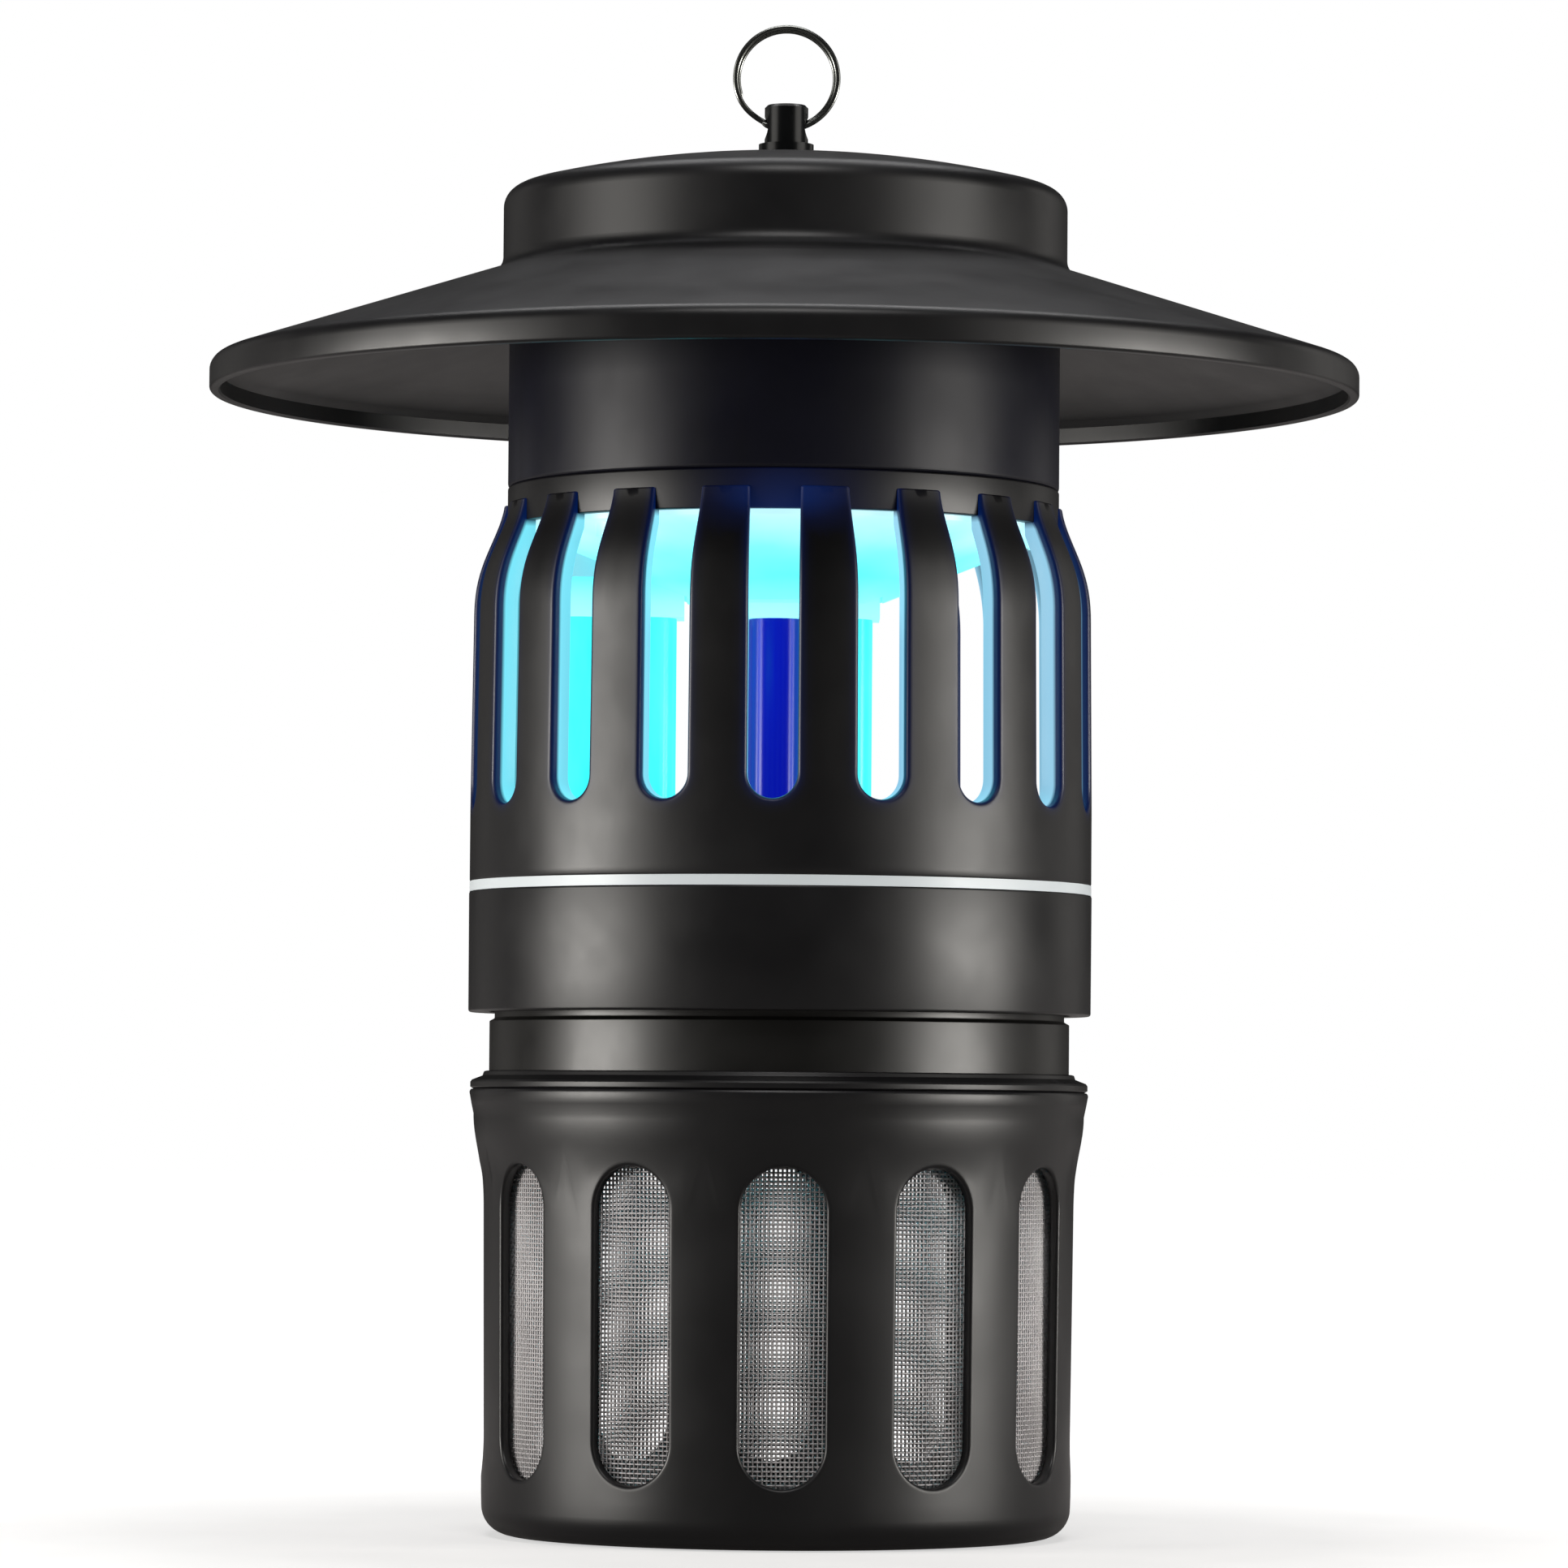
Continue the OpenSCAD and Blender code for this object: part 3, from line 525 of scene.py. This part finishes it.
# ---- Shells with slots ----
class SlottedShell(Shape):
    """A turned shell with a ring of tall openings whose edges are rounded inside and out.

    Each opening is one cell. Its rows of points run down the opening's left side, round its foot
    and up its right side, and an opening that isn't open at the top goes on round its head.
    """

    def __init__(self, count, first, half, heights, z_range, fillet, steps, open_top):
        super().__init__()
        self.count = count
        self.pitch = TAU / count
        self.first = math.radians(first)
        self.half = half
        self.low, self.high = heights
        self.z_range = z_range
        self.fillet = fillet
        self.across, self.up = steps
        self.open_top = open_top
        self.bevel = 0.25

    def angles(self):
        """Every angle of the seam where plain turned strips join the slotted part."""
        return turn(self.count * self.across, self.first - self.pitch / 2)

    def cut(self, outer, inner):
        """Makes every cell between the outer and inner radius, given as functions of height."""
        self.outer, self.inner = outer, inner
        for i in range(self.count):
            self.cell(self.first + i * self.pitch)

    def side_shares(self):
        """Places down a side, from 0 at its top to just short of 1 at its foot."""
        shares = [k / self.up for k in range(self.up)]
        if self.open_top:
            shares.insert(1, self.bevel / (self.high - self.low - self.half))
        return shares

    def outline(self, offset):
        """The opening's edge moved outward by offset, as (sideways, height)."""
        reach = self.half + offset
        foot = self.low + self.half
        head = self.high if self.open_top else self.high - self.half
        down = [head + (foot - head) * s for s in self.side_shares()]
        turn_in = [math.pi * k / self.across for k in range(self.across + 1)]
        points = [(-reach, z) for z in down]
        points += [(-reach * math.cos(a), foot - reach * math.sin(a)) for a in turn_in]
        points += [(reach, z) for z in reversed(down)]
        if not self.open_top:
            points += [(reach * math.cos(a), head + reach * math.sin(a)) for a in turn_in[1:-1]]
        return points

    def border(self):
        """The cell's border, as (share of the pitch, height), in step with outline()."""
        low, high = self.z_range
        down = [high + (low - high) * s for s in self.side_shares()]
        shares = [k / self.across - 0.5 for k in range(self.across + 1)]
        points = [(-0.5, z) for z in down]
        points += [(s, low) for s in shares]
        points += [(0.5, z) for z in reversed(down)]
        if not self.open_top:
            points += [(-s, high) for s in shares[1:-1]]
        return points

    def radius(self, z, depth, from_inside):
        """Radius at a depth under the outer or the inner surface."""
        return self.inner(z) + depth if from_inside else self.outer(z) - depth

    def row(self, centre, offset, depth, from_inside, blend):
        """Points round the slot: blend 0 follows the slot's edge and blend 1 the cell's border."""
        points = []
        for (side, z), (share, border_z) in zip(self.outline(offset), self.border()):
            a = math.asin(side / self.radius(z, depth, from_inside))
            a += (share * self.pitch - a) * blend
            z += (border_z - z) * blend
            r = self.radius(z, depth, from_inside)
            if self.open_top and z > self.high - 1e-6:
                middle = (self.inner(z) + self.outer(z)) / 2
                r += self.bevel * max(-1, min(1, middle - r))
                a += math.copysign(self.bevel / r, share) * (1 - blend)
            points.append(polar(r, centre + a, z))
        return points

    def cell_rows(self):
        """Rows from the outer border through the slot to the inner border.

        Each row is (offset, depth, from_inside, blend, glow, lit).
        """
        f = self.fillet
        inner_f = 0.35
        wide = f + 2.7
        rows = [(wide, 0, False, 1.0, 0.0, 0), (wide, 0, False, 0.5, 0.0, 0),
                (wide, 0, False, 0, 0.0, 0), (f + 1.2, 0, False, 0, 0.05, 0),
                (f + 0.4, 0, False, 0, 0.22, 0)]
        for k in range(6):
            a = math.pi / 2 * k / 5
            rows.append((f - f * math.sin(a), f - f * math.cos(a), False, 0, 0.35 + 0.09 * k, 0))
        rows += [(0, f + 0.7, False, 0, 0.85, 0), (0, f + 1.1, False, 0, 0.85, 0.5),
                 (0, f + 1.5, False, 0, 0.8, 1)]
        for k in range(3):
            a = math.pi / 2 * k / 2
            offset = inner_f - inner_f * math.cos(a)
            depth = inner_f - inner_f * math.sin(a)
            rows.append((offset, depth, True, 0, 0.5, 0.9))
        rows += [(inner_f + 1.5, 0, True, 0.0, 0, 0.45), (wide, 0, True, 0.5, 0, 0.35),
                 (wide, 0, True, 1.0, 0, 0.35)]
        return rows

    def cell(self, centre):
        firsts = []
        for offset, depth, from_inside, blend, glow, lit in self.cell_rows():
            points = self.row(centre, offset, depth, from_inside, blend)
            firsts.append(self.add(points, glow, lit))
        count = len(points)
        for a, b in zip(firsts, firsts[1:]):
            self.bridge(a, b, count, not self.open_top)
        if self.open_top:
            self.faces.append(tuple(firsts))
            self.faces.append(tuple(first + count - 1 for first in firsts))


def cage_r(z):
    """Outer radius of the cage: a straight band, then ribs that lean in to the collar."""
    kick = 0.38 * max(0, (z - NECK_Z + 14.5) / (RIB_TOP - NECK_Z + 14.5)) ** 2
    if z <= SHOULDER_Z:
        return BODY_R - 0.4 * max(0, (z - SLOT_Z) / (SHOULDER_Z - SLOT_Z))
    t = min(1, (z - SHOULDER_Z) / 28.5)
    return NECK_R + 7.1 * (1 - ease(t ** 1.35)) + kick


def cage_in(z):
    """Inner radius of the cage: a thin foot that deepens into the ribs."""
    deep = BODY_R - RIB_DEPTH
    if z < SLOT_Z - 5.5:
        return BODY_R - CAGE_WALL
    if z < SLOT_Z - 1.5:
        return BODY_R - CAGE_WALL + (deep - BODY_R + CAGE_WALL) * (z - SLOT_Z + 5.5) / 4
    if z < RIB_Z:
        return deep + (cage_r(RIB_Z) - BODY_R) * (z - SLOT_Z + 1.5) / (RIB_Z - SLOT_Z + 1.5)
    return max(NECK_R - WALL, cage_r(z) - RIB_DEPTH)


def make_cage():
    slots, first, half_width, fillet, low = 18, -91.6, 5.3, 0.9, 143
    shape = SlottedShell(slots, first, half_width, (SLOT_Z, RIB_TOP), (low, RIB_TOP), fillet,
                         (24, 40), open_top=True)
    shape.cut(cage_r, cage_in)
    inside = BODY_R - CAGE_WALL
    foot = [(cage_r(low), low), (BODY_R, 141.3), (BODY_R - 0.12, 141.02),
            (BODY_R - 0.4, CAGE_Z), (inside, CAGE_Z), (inside, low)]
    shape.spin(foot, shape.angles(), False)
    collar = [(NECK_R - WALL - 0.05, COLLAR_Z, 0.2), (NECK_R, COLLAR_Z, 0.35),
              (NECK_R, NECK_Z, 0.4), (NECK_R - WALL - 0.05, NECK_Z, 0.2)]
    shape.spin(rounded(collar), turn(288))
    for a in (38.4, 158.4, 278.4):
        boss(shape, 61.8, math.radians(a))
    glow = [max(g, spill(*point)) for g, point in zip(shape.glow, shape.points)]
    lit = [value * (z < COLLAR_Z) for value, (_, _, z) in zip(shape.lit, shape.points)]
    piece = add_mesh("cage_shell", shape.points, shape.faces, CAGE_BLACK, "housing",
                     values={"glow": glow, "lit": lit})
    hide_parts("cage_collar", "cage_ribs", "cage_band")
    return piece


def spill(x, y, z):
    """Blue light that the middle lamp throws on the collar above the front slot."""
    if y > 0 or z < 212:
        return 0.0
    spread = math.exp(-(x / 15) ** 2)
    recess = 1.0 if z < RIB_TOP + 0.3 else math.exp(-(z - RIB_TOP) / 4)
    return spread * recess * min(1, (z - 212) / 8)


def boss(shape, at_r, angle):
    """A screw boss inside the cage's foot."""
    profile = [(1.35, CAGE_Z), (3.0, CAGE_Z), (3.4, CAGE_Z + 0.4),
               (3.4, 149.5), (3.0, 149.9), (1.35, 149.9)]
    shape.spin(profile, turn(24), centre=Vector(polar(at_r, angle, 0)))


# ---- Basket ----
def basket_r(z):
    """Outer radius of the basket: nearly straight, then flared up to the rim."""
    if z <= FLARE_Z:
        return BASE_R + (BASE_TOP_R - BASE_R) * z / FLARE_Z
    return BASE_TOP_R + (RIM_R - 0.9 - BASE_TOP_R) * ease(min(1, (z - FLARE_Z) / FLARE_H))


def make_basket():
    slots, first, half_width, fillet, low, high = 12, -88.9, 9, 0.8, 9, 84
    shape = SlottedShell(slots, first, half_width, (13, 79.9), (low, high), fillet,
                         (36, 36), open_top=False)
    shape.cut(basket_r, lambda z: basket_r(z) - BASKET_WALL)
    angles = shape.angles()
    corner_r = BASE_R - BASE_ROUND
    foot = [(basket_r(low), low)] + arc(corner_r, BASE_ROUND, BASE_ROUND, 0, -90, 10)
    shape.spin(foot + [(40, 0), (20, 0), (0.01, 0)], angles, False)
    round_in = BASE_ROUND - BASKET_WALL
    floor = [(basket_r(low) - BASKET_WALL, low)] + arc(corner_r, BASE_ROUND, round_in, 0, -90, 6)
    shape.spin(floor + [(40, BASKET_WALL), (20, BASKET_WALL), (0.01, BASKET_WALL)], angles, False)
    flare = [84, 85.5, 87, 88.5, 89.7, 90.7]
    rim = [(basket_r(z), z) for z in flare]
    rim += [(RIM_R - 0.42, 93), (RIM_R, 95.3), (RIM_R - 0.12, 95.7), (RIM_R - 0.4, BASKET_H)]
    rim += [(RIM_IN + 0.2, BASKET_H), (RIM_IN, BASKET_H - 0.3)]
    rim += [(RIM_IN, FLARE_Z + FLARE_H + 0.6)]
    rim += [(basket_r(z) - BASKET_WALL, z) for z in reversed(flare)]
    shape.spin(rim, angles, False)
    bump = [(65.7, 86.4), (63.2, 88.2), (63.2, 90), (66, 91.6)]
    for a in (30, 150, 270):
        shape.block(bump, a - 8, a + 8, 8)
    piece = add_mesh("basket_shell", shape.points, shape.faces, CHARCOAL,
                     "basket")
    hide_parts("basket_cup")
    return piece


def make_gauze():
    """Woven liner: upright wires, and rings that pass in front of one and behind the next."""
    pitch, half, weave = 0.97, 0.25, 0.24
    middle_r = 60.56
    low, high = 4.6, 83.9
    section = [(half, 0), (-half / 2, 0.87 * half), (-half / 2, -0.87 * half)]
    shape = Shape()
    count = 2 * round(TAU * middle_r / pitch / 2)
    angles = turn(count)
    for a in angles:
        out = Vector(polar(1, a, 0))
        side = Vector(polar(1, a + math.pi / 2, 0))
        base = out * middle_r
        corners = [base + out * u + side * v for u, v in section]
        lower = shape.add([(c.x, c.y, low) for c in corners])
        upper = shape.add([(c.x, c.y, high) for c in corners])
        shape.bridge(lower, upper, 3)
        shape.faces.append(tuple(range(lower, lower + 3)))
        shape.faces.append(tuple(range(upper, upper + 3)))
    margin = 0.3
    tall = high - low - 2 * margin
    rings = round(tall / pitch)
    for k in range(rings + 1):
        z = low + margin + k * tall / rings
        rows = []
        for u, v in section:
            radii = [middle_r + u + weave * (-1) ** (i + k) for i in range(count)]
            rows.append(shape.add([polar(r, a, z + v) for r, a in zip(radii, angles)]))
        for a, b in zip(rows, rows[1:] + rows[:1]):
            shape.bridge(a, b, count)
    piece = add_mesh("mesh_gauze", shape.points, shape.faces, GAUZE,
                     "basket", sharp=180)
    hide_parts("mesh_liner")
    return piece


# ---- Ring ----
def make_ring():
    """A split ring: one flat wire that makes two turns side by side, with a jog between."""
    jog = math.radians(20)
    jog_at = math.radians(222)
    steps = 260
    half_w, half_t = 0.60, 0.56
    centre = Vector((0, 0, EYE_Z + RING_R))
    path = []
    for i in range(steps + 1):
        s = jog + (2 * TAU - 2 * jog) * i / steps
        t = min(1, max(0, (s - TAU + jog) / (2 * jog)))
        y = -0.6 + 1.2 * ease(t)
        a = jog_at + s
        r = RING_R + 0.25 - 0.50 * ease(t)
        path.append(centre + Vector((r * math.cos(a), y, r * math.sin(a))))
    corner = 0.42
    section = rounded([(-half_w, -half_t, corner), (half_w, -half_t, corner),
                       (half_w, half_t, corner), (-half_w, half_t, corner)], 4)

    def ring(i, point):
        outward = point - centre
        outward.y = 0
        outward.normalize()
        across = Vector((0, 1, 0))
        end = min(1.0, 0.55 + 0.25 * min(i, steps - i))
        return [point + outward * (u * end) + across * (v * end) for u, v in section]

    shape = Shape()
    shape.sweep(path, ring)
    piece = add_mesh("split_ring", shape.points, shape.faces, STEEL_RING,
                     "ring", sharp=50)
    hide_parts("hang_ring")
    return piece


# ---- Lamps ----
def make_lamps():
    """Two U lamps: each has two round-ended legs joined near the bottom."""
    shape = Shape()
    low = LAMP_END + TUBE_R
    for x0 in LAMP_X:
        for side in (-LEG, LEG):
            leg = arc(0, low, TUBE_R, -90, 0, 10)[1:]
            leg = [(0.01, LAMP_END)] + leg + [(TUBE_R, z) for z in (160, 175, 190)]
            leg += [(TUBE_R, LAMP_TOP - 0.4), (TUBE_R - 0.4, LAMP_TOP), (0.01, LAMP_TOP)]
            shape.spin(leg, turn(48), False, (x0 + side, 0))
        bridge = []
        for k in range(13):
            x = -LEG + 2 * LEG * k / 12
            swell = 3.6 + 0.9 * abs(x / LEG) ** 3
            bridge.append((x0 + x, swell))
        rows = []
        for x, r in bridge:
            around = [(x, r * math.cos(a), low + 1 + r * math.sin(a)) for a in turn(24)]
            rows.append(shape.add(around))
        for a, b in zip(rows, rows[1:]):
            shape.bridge(a, b, 24)
    piece = add_mesh("lamp_pair", shape.points, shape.faces, LAMP, "housing")
    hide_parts("lamp_tubes")
    return piece


# ---- Fan section ----
def make_skirt():
    inside = DUCT_R + 0.05
    flange_in = 64.6
    corners = [(inside, SKIRT_Z, 0.2), (BODY_R + 0.02, SKIRT_Z, 0.55),
               (BODY_R + 0.1, FLANGE_Z, 0.45), (flange_in, FLANGE_Z, 0.2),
               (flange_in, FLANGE_Z - WALL, 0.2),
               (BODY_R - 2.3, FLANGE_Z - WALL, 0.2), (BODY_R - 2.3, SKIRT_Z + WALL, 0.4),
               (inside, SKIRT_Z + WALL, 0.2)]
    shape = Shape()
    shape.spin(rounded(corners), turn(288))
    piece = add_mesh("skirt_shell", shape.points, shape.faces, CHARCOAL,
                     "housing")
    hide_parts("fan_skirt")
    return piece


def make_duct():
    """The duct, with a shadow groove under the skirt and a snap groove for the basket's bumps."""
    groove_r = DUCT_R - 1.1
    top = FLANGE_Z - 7.7
    inside, ledge_in = 60.5, 53.5
    foot = 86
    corners = [(inside, top, 0.2), (DUCT_R, top, 0.3), (DUCT_R, SKIRT_Z + 0.4, 0),
               (groove_r, SKIRT_Z + 0.4, 0.2), (groove_r, SKIRT_Z - 1.3, 0.4),
               (DUCT_R, SKIRT_Z - 1.9, 0.3), (DUCT_R, 90.4, 0.1),
               (DUCT_R - 0.4, 90, 0.1), (DUCT_R - 0.4, 88.4, 0.1), (DUCT_R, 88, 0.1),
               (DUCT_R, foot, 0.6), (inside, foot, 0.3), (inside, 90.8, 0.2),
               (ledge_in, 90.8, 0.3), (ledge_in, 93, 0.3), (inside, 93, 0.2)]
    shape = Shape()
    shape.spin(rounded(corners), turn(288))
    piece = add_mesh("duct_shell", shape.points, shape.faces, DUCT_BLACK,
                     "housing")
    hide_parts("fan_duct")
    return piece


def make_seal():
    """The basket's soft lip ring: a bead against the duct, a sloping top and a lip on the rim."""
    in_r = DUCT_R + 0.3
    lip_r = 66.95
    corners = [(in_r, BASKET_H - 3, 0.2), (in_r, BASKET_H + 4.0, 0.2),
               (in_r + 0.8, BASKET_H + 3.8, 0.35), (in_r + 1.1, BASKET_H + 2.9, 0.3),
               (66.6, BASKET_H + 2.0, 0.4), (lip_r, BASKET_H + 1.5, 0.2),
               (lip_r, BASKET_H + 0.45, 0.15), (66.3, BASKET_H + 0.02, 0.1),
               (RIM_IN - 0.3, BASKET_H + 0.02, 0.1), (RIM_IN - 0.3, BASKET_H - 3, 0.2)]
    shape = Shape()
    shape.spin(rounded(corners), turn(288))
    piece = add_mesh("seal_ring", shape.points, shape.faces, CHARCOAL, "seal")
    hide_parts("basket_seal")
    return piece


make_roof()
make_cage()
make_basket()
make_gauze()
make_ring()
make_lamps()
make_skirt()
make_duct()
make_seal()


# ---- Stage and light, in metres and degrees ----
WARM = (1.0, 0.97, 0.92)
CYAN = (0.05, 0.80, 1.0)


def light_path_mix(tree, camera_shader, other_shader, target):
    path = tree.nodes.new("ShaderNodeLightPath")
    mix = tree.nodes.new("ShaderNodeMixShader")
    tree.links.new(path.outputs["Is Camera Ray"], mix.inputs["Fac"])
    tree.links.new(other_shader.outputs[0], mix.inputs[1])
    tree.links.new(camera_shader.outputs[0], mix.inputs[2])
    tree.links.new(mix.outputs[0], target)


def make_world():
    world = bpy.data.worlds.new("studio")
    bpy.context.scene.world = world
    world.use_nodes = True
    tree = world.node_tree
    tree.nodes.clear()
    seen = tree.nodes.new("ShaderNodeBackground")
    seen.inputs["Color"].default_value = (1, 1, 1, 1)
    seen.inputs["Strength"].default_value = 1.0
    around = tree.nodes.new("ShaderNodeBackground")
    around.inputs["Color"].default_value = (1, 0.98, 0.97, 1)
    around.inputs["Strength"].default_value = 0.025
    output = tree.nodes.new("ShaderNodeOutputWorld")
    light_path_mix(tree, seen, around, output.inputs["Surface"])


def make_floor():
    """White paper to the camera, and darker paper to the light that bounces off it."""
    floor_z = -0.2
    shape = Shape()
    shape.spin([(r, floor_z) for r in (0.01, 300, 800, 9000)], turn(64), False)
    mesh = bpy.data.meshes.new("floor")
    mesh.from_pydata([(x * MM, y * MM, z * MM) for x, y, z in shape.points], [], shape.faces)
    floor = bpy.data.objects.new("floor", mesh)
    bpy.context.scene.collection.objects.link(floor)
    n = Nodes("floor_paper")
    mesh.materials.append(n.material)
    length = n.node("ShaderNodeVectorMath", operation="LENGTH")
    n.link(n.coords, length.inputs[0])
    camera_ray = n.node("ShaderNodeLightPath").outputs["Is Camera Ray"]
    paper_white = n.ramp(n.noise(40, 3), [(0.3, (0.58, 0.57, 0.56)), (0.7, (0.64, 0.63, 0.62))])
    n.link(n.mix(camera_ray, (0.26, 0.25, 0.24), paper_white), n.shader.inputs["Base Color"])
    n.put(Roughness=0.9, Specular_IOR_Level=0.1)
    n.link(n.mix(camera_ray, (1.0, 0.93, 0.91), (1, 1, 1)), n.shader.inputs["Emission Color"])
    paper = n.spread(length.outputs["Value"], 0.55, 1.0, 0.12, 0.40)
    behind = n.spread(n.axis("Y"), 0.0, 0.28, -0.10, 0.25)
    fade = n.spread(length.outputs["Value"], 1.0, 0.0, 0.7, 1.1)
    not_camera = n.math("SUBTRACT", 1.0, camera_ray)
    other = n.math("MULTIPLY", not_camera, n.math("MULTIPLY", behind, fade))
    seen = n.math("MULTIPLY", camera_ray, paper)
    n.link(n.math("ADD", seen, other), n.shader.inputs["Emission Strength"])


def softbox(name, azimuth, height, distance, size, radiance, colour=WARM, middle=0.165):
    """A rectangular light aimed at the axis at height middle. Azimuth 0 is in front."""
    width, tall = size
    data = bpy.data.lights.new(name, "AREA")
    data.shape = "RECTANGLE"
    data.size = width
    data.size_y = tall
    data.energy = radiance * math.pi * width * tall
    data.color = colour
    lamp = bpy.data.objects.new(name, data)
    bpy.context.scene.collection.objects.link(lamp)
    a = math.radians(azimuth)
    place = Vector((distance * math.sin(a), -distance * math.cos(a), height))
    aim = (place - Vector((0, 0, middle))).to_track_quat("Z", "Y")
    lamp.matrix_world = Matrix.Translation(place) @ aim.to_matrix().to_4x4()
    lamp.visible_camera = False


def chamber_light(name, place, power):
    """A small light in the lamp chamber; place is in millimetres."""
    data = bpy.data.lights.new(name, "POINT")
    data.energy = power
    data.color = CYAN
    data.shadow_soft_size = 0.006
    lamp = bpy.data.objects.new(name, data)
    bpy.context.scene.collection.objects.link(lamp)
    lamp.location = [v * MM for v in place]
    lamp.visible_camera = False
    lamp.visible_glossy = False


make_world()
make_floor()
softbox("key_left", -66, 0.26, 1.25, (0.80, 1.20), 1.9)
softbox("key_right", 66, 0.26, 1.25, (0.80, 1.20), 2.0)
softbox("hot_left", -73, 0.13, 1.20, (0.60, 0.22), 20.5, middle=0.13)
softbox("hot_right", 73, 0.13, 1.20, (0.60, 0.22), 16.5, middle=0.13)
softbox("back_left", -135, 0.30, 1.3, (0.5, 1.1), 0.25)
softbox("back_right", 130, 0.30, 1.3, (0.5, 1.1), 0.55)
softbox("front_high", 0, 1.35, 0.90, (0.6, 0.4), 7.0, (1.0, 0.98, 0.97), middle=0.06)
softbox("top", 180, 1.45, 0.42, (1.1, 1.0), 1.5, (0.97, 0.97, 1.0))
softbox("strip", 180, 1.50, 0.50, (1.4, 0.08), 9.0, (1.0, 0.99, 0.97), middle=0.26)
chamber_light("glow_left", (-56, 0, 190), 0.03)
chamber_light("glow_front", (-14, -26, 190), 0.03)
chamber_light("glow_back", (-14, 26, 190), 0.03)
chamber_light("glow_right", (34, 0, 190), 0.04)

bpy.context.scene.view_settings.view_transform = "Standard"

bpy.context.view_layer.update()
